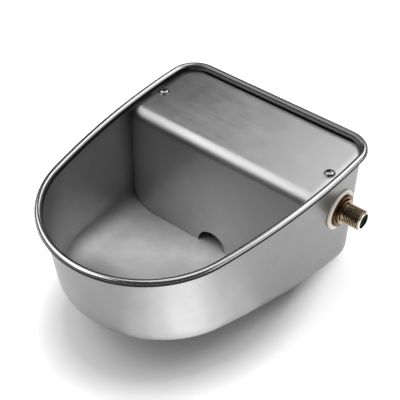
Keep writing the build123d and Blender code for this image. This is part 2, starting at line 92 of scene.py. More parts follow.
# bowl: the outline at its rim and at its foot, the rolled bead, and the pressed walls and floor
RIM_HEIGHT = 45.0
RIM_WIDTH = 240.0
RIM_LENGTH = 308.0
RIM_FRONT_RADIUS = 104.0
RIM_SIDE_RADIUS = 806.0
RIM_CORNER_RADIUS = 30.0
BEAD_RADIUS = 3.5
BEAD_SKIN = BEAD_RADIUS - 0.015
BEAD_CURL = 300.0
SHEET = 1.0
BOWL_DEPTH = 155.0
SIDE_DRAFT = 0.5
FRONT_RAKE = 6.5
FLOOR_SLOPE = 11.5
FLOOR_CORNER_RADIUS = 25.5
FOOT_FRONT_RADIUS = 96.5
FOOT_CORNER_RADIUS = 31.5
WALL_HOLE_X = 70.0
WALL_HOLE_RADIUS = 4.25
WALL_INSET = 2 * BEAD_RADIUS - SHEET
WALL_TOP = RIM_HEIGHT - BEAD_RADIUS
FOOT_LEVEL = RIM_HEIGHT - BOWL_DEPTH - SHEET
WALL_DROP = WALL_TOP - FOOT_LEVEL
NARROWING = WALL_DROP * math.tan(math.radians(SIDE_DRAFT))
FLOOR_TILT = math.radians(FLOOR_SLOPE)
FLOOR_NORMAL = np.array((0.0, math.sin(FLOOR_TILT), math.cos(FLOOR_TILT)))

# cover plate, its notch and its screws
COVER_TOP = 37.5
COVER_SHEET = 1.0
COVER_CLEARANCE = 0.25
COVER_INSET = SHEET + COVER_CLEARANCE
COVER_BACK_GAP = 2.2
COVER_FRONT = 99.6
COVER_LEAN = 3.0
COVER_BEND_RADIUS = 13.0
COVER_CORNER_RADIUS = 31.0
NOTCH_RADIUS = 18.0
SCREW_X = 103.3
SCREW_Y = -57.0
SCREW_HOLE_RADIUS = 2.75
COVER_EDGE = 0.22

# inlet: the brass stub and its G 1/2 threads, from the spigot's end to the mouth
INLET_Y = -47.8
INLET_Z = -8.6
PITCH = 25.4 / 14
THREAD_DEPTH = 1.162
STUB_RADIUS = 10.4775
INLET_HOLE_RADIUS = STUB_RADIUS + 0.4
WALL_X = 113.561
FLANGE_X = WALL_X + 2.2
STEP_X = FLANGE_X + 3.0
STUB_X = STEP_X + 2.2
MOUTH_X = STUB_X + 20.8
SPIGOT_X = WALL_X - SHEET - 2.6 - 6.0 - 13.0  # past the wall, the gasket, the lock nut and the socket
BORE_RADIUS = 5.5
MOUTH_BORE_RADIUS = 7.5
MOUTH_BORE_DEPTH = 26.0
NECK_RADIUS = 9.6
STEP_RADIUS = 13.5
FLANGE_RADIUS = 17.25

# cover screws: M5, pan head with a thin flange and a cross recess; distances are along the screw
SCREW_RADIUS = 2.5
SCREW_CORE = 2.1
SCREW_LENGTH = 11.0
SCREW_PITCH = 0.8
SCREW_THREAD_DEPTH = 0.45
SCREW_THREAD = (-10.4, -0.8)
SCREW_FLANGE = [(0.0, 5.4), (0.12, 5.6), (0.42, 5.6), (0.6, 5.25), (0.75, 5.1)]
DOME_FOOT = 0.9
DOME_HEIGHT = 2.3
DOME_RADIUS = 5.1
RECESS_TURNS = (39.0, 129.0)
RECESS_WIDTH = 1.2
RECESS_REACH = 3.1
RECESS_TOP = 3.6
RECESS_DEPTH = 2.5
RECESS_TAPER = 0.45

# ---------------------------------------------------------------- meshes


def piece(name, verts, faces, body, sharp=35.0):
    """Mesh object from points in mm, smooth but for edges sharper than `sharp` degrees."""
    mesh = bpy.data.meshes.new(name)
    mesh.from_pydata([tuple(float(c) * MM for c in v) for v in verts], [], faces)
    mesh.update()
    obj = bpy.data.objects.new(name, mesh)
    bpy.context.scene.collection.objects.link(obj)
    tidy_mesh(obj, sharp)
    if body is not None:
        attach(obj, body)
    return obj


def tidy_mesh(obj, sharp):
    """Joins doubled points, turns the faces outwards and smooths the mesh."""
    bm = bmesh.new()
    bm.from_mesh(obj.data)
    bmesh.ops.remove_doubles(bm, verts=bm.verts, dist=2e-6)
    bmesh.ops.dissolve_degenerate(bm, edges=bm.edges, dist=1e-7)
    bmesh.ops.recalc_face_normals(bm, faces=bm.faces)
    bm.to_mesh(obj.data)
    bm.free()
    obj.data.shade_smooth()
    obj.data.set_sharp_from_angle(angle=math.radians(sharp))


def bake_modifiers(obj, sharp):
    """Applies the modifiers of a piece and smooths what they leave."""
    depsgraph = bpy.context.evaluated_depsgraph_get()
    mesh = bpy.data.meshes.new_from_object(obj.evaluated_get(depsgraph))
    obj.modifiers.clear()
    obj.data = mesh
    tidy_mesh(obj, sharp)


def cut(obj, cutters, sharp=35.0):
    """Cuts the cutters out of a piece, and removes them."""
    for cutter in cutters:
        modifier = obj.modifiers.new("cut", "BOOLEAN")
        modifier.operation = "DIFFERENCE"
        modifier.solver = "EXACT"
        modifier.object = cutter
    bake_modifiers(obj, sharp)
    for cutter in cutters:
        bpy.data.objects.remove(cutter)


def soften(obj, width, segments=2, angle=40.0, sharp=60.0):
    """Rounds the sharp edges of a piece by `width` mm."""
    modifier = obj.modifiers.new("soften", "BEVEL")
    modifier.width = width * MM
    modifier.segments = segments
    modifier.limit_method = "ANGLE"
    modifier.angle_limit = math.radians(angle)
    modifier.use_clamp_overlap = True
    bake_modifiers(obj, sharp)


def skin(rings, closed_round=True, closed_along=False):
    """Points and quads between rows of as many points each."""
    count = len(rings[0])
    verts = [v for ring in rings for v in ring]
    faces = []
    rows = len(rings) if closed_along else len(rings) - 1
    columns = count if closed_round else count - 1
    for i in range(rows):
        for j in range(columns):
            low, high = i * count, ((i + 1) % len(rings)) * count
            after = (j + 1) % count
            faces.append((low + j, low + after, high + after, high + j))
    return verts, faces


def axis_frame(axis):
    """An axis of length 1, and two directions square to it."""
    axis = np.array(axis, float) / np.linalg.norm(axis)
    helper = np.array((0.0, 0.0, 1.0)) if abs(axis[2]) < 0.9 else np.array((0.0, 1.0, 0.0))
    first = np.cross(helper, axis)
    first /= np.linalg.norm(first)
    return axis, first, np.cross(axis, first)


def turned(name, profile, place, axis, body, segments=64, sharp=35.0, wobble=None, hollow=False):
    """Piece turned about an axis from a profile of (distance along, radius).

    A solid piece is capped at its ends; a hollow one has a closed profile clear of the axis. `wobble`
    gives what is added to the radius at a place along and round the axis.
    """
    axis, first, second = axis_frame(axis)
    place = np.array(place, float)
    rings = []
    for along, radius in profile:
        ring = []
        for j in range(segments):
            turn = 2 * math.pi * j / segments
            reach = radius + (wobble(along, turn, radius) if wobble else 0.0)
            out = math.cos(turn) * first + math.sin(turn) * second
            ring.append(place + axis * along + out * reach)
        rings.append(ring)
    verts, faces = skin(rings, closed_along=hollow)
    last = (len(rings) - 1) * segments
    if not hollow and profile[0][1] > 0:
        faces.append(tuple(range(segments)))
    if not hollow and profile[-1][1] > 0:
        faces.append(tuple(range(last, last + segments)))
    return piece(name, verts, faces, body, sharp)


def rod(name, start, end, radius, segments=48):
    """Plain cylinder for cutting, from start to end."""
    start, end = np.array(start, float), np.array(end, float)
    length = np.linalg.norm(end - start)
    return turned(name, [(0.0, radius), (length, radius)], start, end - start, None, segments)


def rounded(points, radii, steps=4):
    """Profile with its corners rounded; a radius of 0 keeps a corner."""
    count = len(points)
    made = []
    for i, here in enumerate(points):
        before = np.array(points[i - 1], float)
        after = np.array(points[(i + 1) % count], float)
        here = np.array(here, float)
        into, out = before - here, after - here
        shorter = min(np.linalg.norm(into), np.linalg.norm(out))
        reach = min(radii[i], 0.45 * shorter)
        if reach <= 0:
            made.append(tuple(here))
            continue
        a = here + into / np.linalg.norm(into) * reach
        b = here + out / np.linalg.norm(out) * reach
        for k in range(steps + 1):
            u = k / steps
            made.append(tuple((1 - u) ** 2 * a + 2 * u * (1 - u) * here + u**2 * b))
    return made


# ---------------------------------------------------------------- outline of the bowl

STRAIGHT_STEPS = 14
CORNER_STEPS = 12
SIDE_STEPS = 30
FRONT_STEPS = 36
CURL_STEPS = 40
HALVINGS = 40


def bowl_outline(half_width, tip, front_radius, side_radius, corner_radius, back):
    """Points and outward directions of the D-shaped outline, from the middle of the back."""
    reach = side_radius - front_radius
    front_turn = math.acos((side_radius - half_width) / reach)
    side_x = half_width - side_radius
    side_y = tip + front_radius + reach * math.sin(front_turn)
    corner_y = back - corner_radius
    corner_x = side_x + math.sqrt((side_radius - corner_radius) ** 2 - (corner_y - side_y) ** 2)
    corner_turn = math.atan2(corner_y - side_y, corner_x - side_x)
    points, outward = [], []
    for k in range(STRAIGHT_STEPS):
        points.append((corner_x * k / STRAIGHT_STEPS, back))
        outward.append((0.0, 1.0))
    arcs = (
        (corner_x, corner_y, corner_radius, math.pi / 2, corner_turn, CORNER_STEPS),
        (side_x, side_y, side_radius, corner_turn, -front_turn, SIDE_STEPS),
        (0.0, tip + front_radius, front_radius, -front_turn, -math.pi / 2, FRONT_STEPS),
    )
    for x, y, radius, start, end, steps in arcs:
        for k in range(steps):
            turn = start + (end - start) * k / steps
            points.append((x + radius * math.cos(turn), y + radius * math.sin(turn)))
            outward.append((math.cos(turn), math.sin(turn)))
    points.append((0.0, tip))
    outward.append((0.0, -1.0))
    points = np.array(points + [(-x, y) for x, y in points[-2:0:-1]])
    outward = np.array(outward + [(-x, y) for x, y in outward[-2:0:-1]])
    return points, outward


def rim_outline(inset):
    """Outline of the rim, `inset` inside the bead's outer side."""
    return bowl_outline(
        RIM_WIDTH / 2 - inset,
        WALL_INSET + inset - RIM_LENGTH,
        RIM_FRONT_RADIUS - inset,
        RIM_SIDE_RADIUS - inset,
        RIM_CORNER_RADIUS - inset,
        WALL_INSET - inset,
    )


def foot_outline(inset):
    """Outline of the walls where they would reach the lowest level, `inset` inside their outer skin."""
    return bowl_outline(
        RIM_WIDTH / 2 - WALL_INSET - NARROWING - inset,
        2 * WALL_INSET - RIM_LENGTH + WALL_DROP * math.tan(math.radians(FRONT_RAKE)) + inset,
        FOOT_FRONT_RADIUS - inset,
        RIM_SIDE_RADIUS - WALL_INSET - NARROWING - inset,
        FOOT_CORNER_RADIUS - inset,
        -inset,
    )


def at_level(points, level):
    """Flat points put at a height."""
    return np.column_stack([points, np.full(len(points), level)])


def floor_place(inset):
    """A point of the floor, `inset` above its outer skin."""
    return np.array((0.0, 0.0, RIM_HEIGHT - BOWL_DEPTH)) + inset * FLOOR_NORMAL


def bowl_wall(inset, wall_steps=14, corner_steps=12, floor_steps=10):
    """Rings of the pressed form, `inset` inside its outer skin, from the wall's top to mid-floor."""
    top = at_level(rim_outline(WALL_INSET + inset)[0], WALL_TOP)
    foot = at_level(foot_outline(inset)[0], FOOT_LEVEL)
    radius = FLOOR_CORNER_RADIUS - inset
    base = floor_place(inset)
    fall = foot - top

    def wall_point(share):
        return top + share[:, None] * fall

    def wall_normal(share):
        here = wall_point(share)
        along = np.roll(here, -1, 0) - np.roll(here, 1, 0)
        normal = np.cross(fall, along)
        normal /= np.linalg.norm(normal, axis=1)[:, None]
        facing = np.sign((normal[:, :2] * rim_outline(0)[1]).sum(1))
        return normal * facing[:, None]

    # the fillet starts where a ball of its radius touches the wall and the floor
    low, high = np.zeros(len(top)), np.ones(len(top))
    for _ in range(HALVINGS):
        share = (low + high) / 2
        centre = wall_point(share) - radius * wall_normal(share)
        height = (centre - base) @ FLOOR_NORMAL - radius
        low = np.where(height > 0, share, low)
        high = np.where(height > 0, high, share)
    normal = wall_normal(share)
    centre = wall_point(share) - radius * normal
    rings = [wall_point(share * k / wall_steps) for k in range(wall_steps + 1)]
    turn = np.arccos(np.clip(-(normal @ FLOOR_NORMAL), -1, 1))
    for k in range(1, corner_steps + 1):
        u = k / corner_steps
        mixed = (
            np.sin((1 - u) * turn)[:, None] * normal
            - np.sin(u * turn)[:, None] * FLOOR_NORMAL
        ) / np.sin(turn)[:, None]
        rings.append(centre + radius * mixed)
    middle = rings[-1].mean(0)
    edge = rings[-1]
    for k in range(1, floor_steps):
        rings.append(edge + (middle - edge) * (k / floor_steps) ** 1.2)
    return rings, middle


def bead_rings(radius, turns):
    """Rings round the bead's own centre line, at each turn in degrees from straight outwards."""
    centre, outward = rim_outline(BEAD_RADIUS)
    rings = []
    for turn in turns:
        c, s = math.cos(math.radians(turn)), math.sin(math.radians(turn))
        flat = centre + radius * c * outward
        rings.append(at_level(flat, WALL_TOP + radius * s))
    return rings


# ---------------------------------------------------------------- bowl

CUT_REACH = 10.0
INLET_CUT = (105.0, 125.0)  # along X, through the side wall


def make_bowl():
    """Pressed sheet with its curled rim, the bolt holes and the inlet hole."""
    inside, mid_inside = bowl_wall(SHEET)
    outside, mid_outside = bowl_wall(0.0)
    curl = [180.0 - BEAD_CURL * k / CURL_STEPS for k in range(CURL_STEPS + 1)]
    rings = inside[::-1][:-1]
    rings += bead_rings(BEAD_SKIN, curl)
    rings += bead_rings(BEAD_RADIUS - SHEET, curl[::-1])[:-1]
    rings += outside
    verts, faces = skin(rings)
    count = len(rings[0])
    verts += [mid_inside, mid_outside]
    first, last = len(verts) - 2, len(verts) - 1
    end = (len(rings) - 1) * count
    for j in range(count):
        after = (j + 1) % count
        faces.append((after, j, first))
        faces.append((end + j, end + after, last))
    bowl = piece("bowl_sheet", verts, faces, "bowl", sharp=50.0)
    cutters = [
        rod("bolt_cut", (x, -CUT_REACH, 0.0), (x, CUT_REACH, 0.0), WALL_HOLE_RADIUS, 40)
        for x in (-WALL_HOLE_X, WALL_HOLE_X)
    ]
    start, end = ((x, INLET_Y, INLET_Z) for x in INLET_CUT)
    cutters.append(rod("inlet_cut", start, end, INLET_HOLE_RADIUS, 72))
    cut(bowl, cutters, sharp=50.0)
    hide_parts("bowl_shell")
    return bowl


bowl = make_bowl()

# ---------------------------------------------------------------- cover

FLAT_STEPS = 25
BEND_STEPS = 24
FACE_STEPS = 40
FACE_ROWS = 25
NOTCH_LEAD = 2.0
NOTCH_STEPS = 24
COVER_COLUMNS = 16
FOOT_STEP = 0.02
SCREW_CUT_REACH = 3.0


def cover_profile():
    """The cover's top skin from its back edge round the bend: points (y, z), directions, end and foot."""
    lean = math.radians(COVER_LEAN)
    bend = math.pi / 2 - lean
    reach = COVER_BEND_RADIUS * math.tan(bend / 2)
    back_y = -SHEET - COVER_BACK_GAP
    start_y = -COVER_FRONT + reach
    points, upward = [], []
    for k in range(FLAT_STEPS):
        points.append((back_y + (start_y - back_y) * (k / FLAT_STEPS), COVER_TOP))
        upward.append((0.0, 1.0))
    for k in range(BEND_STEPS + 1):
        turn = bend * k / BEND_STEPS
        y = start_y - COVER_BEND_RADIUS * math.sin(turn)
        z = COVER_TOP - COVER_BEND_RADIUS * (1 - math.cos(turn))
        points.append((y, z))
        upward.append((-math.sin(turn), math.cos(turn)))
    foot_y = -COVER_FRONT - (COVER_TOP - FOOT_LEVEL) * math.tan(lean)
    end = points[-1]
    return np.array(points), np.array(upward), np.array(end), np.array((foot_y, FOOT_LEVEL))


def width_at(form, y, z):
    """Half the width of a form at a point of the mirror plane, or 0 outside it.

    The form is an array of rings over one half of it. The outline is where its lines cross the level z.
    """
    above, below = form[:-1], form[1:]
    outline = []
    for j in range(form.shape[1]):
        crossed = np.nonzero((above[:, j, 2] >= z) & (below[:, j, 2] < z))[0]
        if len(crossed):
            i = crossed[0]
            share = (above[i, j, 2] - z) / (above[i, j, 2] - below[i, j, 2])
            outline.append(above[i, j] + share * (below[i, j] - above[i, j]))
    widest = 0.0
    for p, q in zip(outline, outline[1:]):
        if (p[1] - y) * (q[1] - y) <= 0 and p[1] != q[1]:
            share = (p[1] - y) / (p[1] - q[1])
            widest = max(widest, p[0] + share * (q[0] - p[0]))
    return widest


def cover_sections():
    """The cover's lines across, from back to foot: point, direction and half the width left open."""
    top, upward, bend_end, foot = cover_profile()
    down = (foot - bend_end) / np.linalg.norm(foot - bend_end)
    # the foot lies where the front face meets the trimming form's floor
    start, way = np.array((0.0, *bend_end)), np.array((0.0, *down))
    length = ((floor_place(COVER_INSET) - start) @ FLOOR_NORMAL) / (way @ FLOOR_NORMAL)
    notch_start = length - NOTCH_RADIUS
    steps = [length * k / FACE_STEPS for k in range(1, FACE_ROWS + 1)]
    steps = [step for step in steps if step < notch_start - 2 * NOTCH_LEAD] + [notch_start - NOTCH_LEAD]
    for k in range(NOTCH_STEPS):
        steps.append(length - NOTCH_RADIUS * math.cos(math.pi / 2 * k / NOTCH_STEPS))
    steps.append(length - FOOT_STEP)
    lean = math.radians(COVER_LEAN)
    sections = [(y, z, ny, nz, 0.0) for (y, z), (ny, nz) in zip(top, upward)]
    for step in steps:
        y, z = bend_end + down * step
        open_half = math.sqrt(max(NOTCH_RADIUS**2 - (length - step) ** 2, 0.0)) if step > notch_start else 0.0
        sections.append((y, z, -math.cos(lean), math.sin(lean), open_half))
    return sections, bend_end[1] + down[1] * length


def make_cover():
    """Bent plate over the float, with its edges cut to the bowl, the notch and the screw holes."""
    form = np.array(bowl_wall(COVER_INSET, wall_steps=14, corner_steps=24, floor_steps=30)[0])
    form = form[:, : form.shape[1] // 2 + 1]
    sections, foot_z = cover_sections()
    corner_x = RIM_WIDTH / 2 - WALL_INSET - COVER_INSET - NARROWING - COVER_CORNER_RADIUS
    count, size = COVER_COLUMNS + 1, len(sections)
    verts, faces = [], []
    for side in (1, -1):
        upper, lower = [], []
        for y, z, ny, nz, inner in sections:
            middle_y, middle_z = y - ny * COVER_SHEET / 2, z - nz * COVER_SHEET / 2
            below = max(foot_z + COVER_CORNER_RADIUS - middle_z, 0.0)
            corner = corner_x + math.sqrt(max(COVER_CORNER_RADIUS**2 - below**2, 0.0))
            outer = max(min(width_at(form, middle_y, middle_z), corner), inner + 0.5)
            row = [side * (inner + (outer - inner) * k / COVER_COLUMNS) for k in range(count)]
            upper.append([(x, y, z) for x in row])
            lower.append([(x, y - ny * COVER_SHEET, z - nz * COVER_SHEET) for x in row])
        top_at = len(verts)
        low_at = top_at + count * size
        for rows, offset in ((upper, top_at), (lower, low_at)):
            made, quads = skin(rows, closed_round=False)
            verts += made
            faces += [tuple(offset + i for i in quad) for quad in quads]
        # the plate's edges: back, foot, side and notch
        last = (size - 1) * count
        edges = [(k, k + 1) for k in range(COVER_COLUMNS)]
        edges += [(last + k, last + k + 1) for k in range(COVER_COLUMNS)]
        edges += [(i * count + COVER_COLUMNS, (i + 1) * count + COVER_COLUMNS) for i in range(size - 1)]
        edges += [(i * count, (i + 1) * count) for i in range(size - 1) if sections[i + 1][4] > 0]
        faces += [(top_at + i, top_at + j, low_at + j, low_at + i) for i, j in edges]
    cover = piece("float_cover", verts, faces, "cover", sharp=50.0)
    low, high = COVER_TOP - SCREW_CUT_REACH, COVER_TOP + SCREW_CUT_REACH
    cutters = [
        rod("screw_cut", (x, SCREW_Y, low), (x, SCREW_Y, high), SCREW_HOLE_RADIUS, 32)
        for x in (-SCREW_X, SCREW_X)
    ]
    cut(cover, cutters, sharp=50.0)
    soften(cover, COVER_EDGE, segments=2, angle=55.0, sharp=60.0)
    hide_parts("cover_plate")
    return cover


cover = make_cover()

# ---------------------------------------------------------------- inlet


def thread(start, end, run=1.2, depth=THREAD_DEPTH, pitch=PITCH):
    """What a right-hand thread takes off the radius at a place along and round its axis."""
    flat = 0.12  # share of half a pitch that is flat at the crest, and as much at the root

    def shape(along, turn, radius):
        if along < start - 1e-6 or along > end + 1e-6:
            return 0.0
        phase = (along / pitch - turn / (2 * math.pi)) % 1.0
        wave = min(max((abs(2 * phase - 1) - flat) / (1 - 2 * flat), 0.0), 1.0)
        wave = wave * wave * (3 - 2 * wave)
        # the thread runs in and out at its ends, quicker at its far end
        fade = min(1.0, (along - start) / run, (end - along) / (0.4 * run))
        return -depth * max(fade, 0.0) * wave

    return shape


def span(start, end, step):
    """Places from start to end, no further apart than step."""
    count = max(1, math.ceil(abs(end - start) / step))
    return [start + (end - start) * k / count for k in range(count + 1)]


def make_stub():
    """Turned brass stub: threaded spigot inside, stepped flange, threaded stub outside."""
    outer = thread(STUB_X + 0.8, MOUTH_X - 2.0)
    inner = thread(SPIGOT_X + 0.8, FLANGE_X - 1.2)

    def wobble(along, turn, radius):
        if abs(radius - STUB_RADIUS) > 0.01:
            return 0.0
        return outer(along, turn, radius) if along > STUB_X else inner(along, turn, radius)

    shoulder = MOUTH_X - MOUTH_BORE_DEPTH
    profile = [(SPIGOT_X, BORE_RADIUS + 0.2), (SPIGOT_X + 0.15, BORE_RADIUS), (shoulder, BORE_RADIUS)]
    profile += [(shoulder, MOUTH_BORE_RADIUS), (MOUTH_X - 0.5, MOUTH_BORE_RADIUS)]
    profile += [(MOUTH_X - 0.1, MOUTH_BORE_RADIUS + 0.2), (MOUTH_X, 8.2), (MOUTH_X - 0.15, 8.55)]
    profile += [(MOUTH_X - 1.85, 10.25)]
    profile += [(x, STUB_RADIUS) for x in span(MOUTH_X - 2.0, STUB_X + 0.8, PITCH / 10)]
    profile += [(STUB_X + 0.5, NECK_RADIUS), (STUB_X + 0.05, NECK_RADIUS)]
    step = [(STUB_X, NECK_RADIUS), (STUB_X, STEP_RADIUS), (STEP_X, STEP_RADIUS), (STEP_X, FLANGE_RADIUS)]
    profile += rounded(step, [0, 0.7, 0.3, 0])[:-1]
    flange = [(STEP_X, 14), (STEP_X, FLANGE_RADIUS), (FLANGE_X, FLANGE_RADIUS), (FLANGE_X, 11)]
    profile += rounded(flange, [0, 0.6, 0.3, 0])[1:-1]
    profile += [(FLANGE_X, STUB_RADIUS)]
    profile += [(x, STUB_RADIUS) for x in span(FLANGE_X - 0.3, SPIGOT_X + 0.6, PITCH / 8)]
    profile += [(SPIGOT_X, STUB_RADIUS - 0.8)]
    place = (0.0, INLET_Y, INLET_Z)
    stub = turned("inlet_fitting", profile, place, (1, 0, 0), "bowl", 80, 40.0, wobble, hollow=True)
    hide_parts("inlet_stub")
    return stub


stub = make_stub()


def recess_arm(place, turn):
    """Tapered bar that cuts one arm of a cross recess."""
    c, s = math.cos(math.radians(turn)), math.sin(math.radians(turn))
    top, foot, side = COVER_TOP + RECESS_TOP, COVER_TOP + RECESS_TOP - RECESS_DEPTH, RECESS_WIDTH / 2
    corners = []
    for z, half in ((top, RECESS_REACH), (foot, RECESS_REACH * RECESS_TAPER)):
        for a, b in ((-half, -side), (half, -side), (half, side), (-half, side)):
            corners.append((place[0] + a * c - b * s, place[1] + a * s + b * c, z))
    faces = [(0, 1, 2, 3), (4, 5, 6, 7)] + [(k, (k + 1) % 4, (k + 1) % 4 + 4, k + 4) for k in range(4)]
    return piece("recess_cut", corners, faces, None, 10.0)


def make_screw(side, hand):
    """Pan head screw with a cross recess and a rolled thread."""
    place = (side * SCREW_X, SCREW_Y, COVER_TOP)
    dome = [(DOME_FOOT, DOME_RADIUS)]
    for k in range(1, 11):
        turn = math.pi / 2 * k / 10
        radius = DOME_RADIUS * math.cos(turn) ** 0.9 if k < 10 else 0.0
        dome.append((DOME_FOOT + DOME_HEIGHT * math.sin(turn), radius))
    start, end = SCREW_THREAD
    shank = [(-SCREW_LENGTH, 0.0), (-SCREW_LENGTH, 1.7), (start, SCREW_RADIUS)]
    shank += [(x, SCREW_RADIUS) for x in span(start + 0.2, end, 0.08)]
    shank += [(end + 0.2, SCREW_CORE), (0.0, SCREW_CORE)]
    rolled = thread(start, end, 0.8, SCREW_THREAD_DEPTH, SCREW_PITCH)

    def wobble(along, turn, radius):
        return rolled(along, turn, radius) if abs(radius - SCREW_RADIUS) < 0.01 else 0.0

    profile = shank + SCREW_FLANGE + dome
    name = f"cover_screw_head_{hand}"
    screw = turned(name, profile, place, (0, 0, 1), f"screw_{hand}", 48, 40.0, wobble)
    cut(screw, [recess_arm(place, turn) for turn in RECESS_TURNS], sharp=38.0)
    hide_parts(f"cover_screw_{hand}")
    return screw


screws = [make_screw(-1, "left"), make_screw(1, "right")]

# ---------------------------------------------------------------- finishes


class Wire:
    """A value in a shader; arithmetic on it adds Math nodes."""

    def __init__(self, finish, socket):
        self.finish = finish
        self.socket = socket

    def _math(self, operation, *values):
        node = self.finish.node("ShaderNodeMath", {"operation": operation}, dict(enumerate(values)))
        return Wire(self.finish, node.outputs[0])

    def __add__(self, other):
        return self._math("ADD", self, other)

    __radd__ = __add__

    def __sub__(self, other):
        return self._math("SUBTRACT", self, other)

    def __rsub__(self, other):
        return self._math("SUBTRACT", other, self)

    def __mul__(self, other):
        return self._math("MULTIPLY", self, other)

    __rmul__ = __mul__

    def __pow__(self, other):
        return self._math("POWER", self, other)

    def dim(self, share):
        """A colour times a value."""
        node = self.finish.node("ShaderNodeVectorMath", {"operation": "SCALE"}, {0: self, 3: share})
        return Wire(self.finish, node.outputs[0])


class Finish:
    """A material for some pieces, with one Principled shader."""

    def __init__(self, name, **constants):
        self.material = bpy.data.materials.new(name)
        self.material.use_nodes = True
        self.tree = self.material.node_tree
        self.shader = next(n for n in self.tree.nodes if n.type == "BSDF_PRINCIPLED")
        for socket, value in constants.items():
            self.shader.inputs[socket.replace("_", " ").title()].default_value = value

    def node(self, kind, settings=None, inputs=None):
        """A node with its settings, and the values or wires of its sockets."""
        node = self.tree.nodes.new(kind)
        for key, value in (settings or {}).items():
            setattr(node, key, value)
        for key, value in (inputs or {}).items():
            if isinstance(value, Wire):
                self.tree.links.new(value.socket, node.inputs[key])
            else:
                node.inputs[key].default_value = value
        return node

    def place(self, scale=(1, 1, 1)):
        """Where a point is on the piece, in metres, times `scale`."""
        coords = Wire(self, self.node("ShaderNodeTexCoord").outputs["Object"])
        mapping = self.node("ShaderNodeMapping", {}, {"Vector": coords, "Scale": scale})
        return Wire(self, mapping.outputs[0])

    def noise(self, scale, detail=3.0, roughness=0.5, stretch=(1, 1, 1)):
        """Even noise, about 0.35 to 0.65, drawn out along an axis where `stretch` is below 1."""
        sockets = {"Vector": self.place(stretch), "Scale": scale, "Detail": detail, "Roughness": roughness}
        return Wire(self, self.node("ShaderNodeTexNoise", {}, sockets).outputs[0])

    def axis(self, letter):
        """One coordinate of the piece, in metres."""
        node = self.node("ShaderNodeSeparateXYZ", {}, {0: self.place()})
        return Wire(self, node.outputs[letter])

    def normal(self):
        """Which way the skin faces."""
        return Wire(self, self.node("ShaderNodeNewGeometry").outputs["Normal"])

    def lean(self):
        """1 where the skin faces straight up, 0 where it is upright, -1 where it faces down."""
        return Wire(self, self.node("ShaderNodeSeparateXYZ", {}, {0: self.normal()}).outputs["Z"])

    def facing(self, centre):
        """Above 0 where the skin faces away from a point of the piece, below 0 where it faces it."""
        away = self.node("ShaderNodeVectorMath", {"operation": "SUBTRACT"}, {0: self.place(), 1: centre})
        sockets = {0: Wire(self, away.outputs[0]), 1: self.normal()}
        dot = self.node("ShaderNodeVectorMath", {"operation": "DOT_PRODUCT"}, sockets)
        return Wire(self, dot.outputs["Value"])

    def ramp(self, value, low, high, from_low=0.0, from_high=1.0):
        """Maps a value from one range to another, clamped."""
        sockets = {
            "Value": value,
            "From Min": from_low,
            "From Max": from_high,
            "To Min": low,
            "To Max": high,
        }
        return Wire(self, self.node("ShaderNodeMapRange", {"clamp": True}, sockets).outputs[0])

    def band(self, value, start, full, fading, end):
        """1 from `full` to `fading`, and 0 below `start` and above `end`."""
        return self.ramp(value, 0.0, 1.0, start, full) * self.ramp(value, 1.0, 0.0, fading, end)

    def uneven(self, value):
        """Noise spread to the whole of 0 to 1."""
        return self.ramp(value, 0.0, 1.0, 0.35, 0.65)

    def blend(self, factor, first, second):
        """The first colour where the factor is 0, the second where it is 1."""
        node = self.node("ShaderNodeMix", {"data_type": "RGBA"}, {0: factor, 6: first, 7: second})
        return Wire(self, node.outputs[2])

    def bump(self, height, strength, distance):
        """Fine relief of a value, `distance` metres deep."""
        sockets = {"Height": height, "Strength": strength, "Distance": distance}
        self.feed("Normal", Wire(self, self.node("ShaderNodeBump", {}, sockets).outputs[0]))

    def feed(self, socket, wire):
        """Lets a value or colour run the shader's socket."""
        self.tree.links.new(wire.socket, self.shader.inputs[socket])

    def on(self, *objs, slot):
        """Puts the finish on some pieces; `slot` is not used."""
        for obj in objs:
            obj.data.materials.clear()
            obj.data.materials.append(self.material)


def rgb(r, g, b):
    """Opaque colour."""
    return (r, g, b, 1.0)


BLACK = rgb(0.0, 0.0, 0.0)
WHITE = rgb(1.0, 1.0, 1.0)

# the bowl's own middle, and where its finishes and its painted light and shade start and end, in metres
BOWL_MIDDLE = (0.0, -0.15, 0.0)
INNER_FLOOR = (BOWL_DEPTH - RIM_HEIGHT - SHEET) * MM * math.cos(FLOOR_TILT)
FLOOR_EDGE = (0.001, 0.015)  # above the floor
FLOOR_FRONT = (-0.195, -0.235)  # painted shadow on the floor, along Y, towards the front
FLOOR_RIGHT = (0.096, 0.130)  # painted shadow across the floor, towards the right of the front
RIM_EDGE = (0.0376, 0.0388)  # up, from the wall to the bead
PAINTED_LINE_LEVEL = (-0.0488, -0.0481, -0.0479, -0.0472)  # up, a pale painted highlight line round the inner walls
BACK_BEAD = (-0.012, -0.001)  # along Y, towards the back, where the bead is rougher and has painted shade
GAP_SHADE = (0.030, 0.036)  # up, in the gap behind the cover
GAP_END = (-0.035, -0.012)  # along Y, towards the back
COVER_SHADE = (-0.104, -0.124)  # along Y, away from the cover's face
COVER_LEFT = (-0.10, -0.03)  # painted shade, along X, away from the cover's left end
# how far the bead leans where painted shade lies under it, and where its back has a painted dark reflection
# line
BEAD_UNDER_SHADE = (-0.97, -0.88, 0.30, 0.46)
BEAD_DARK_LINE = (0.22, 0.32, 0.36, 0.46)


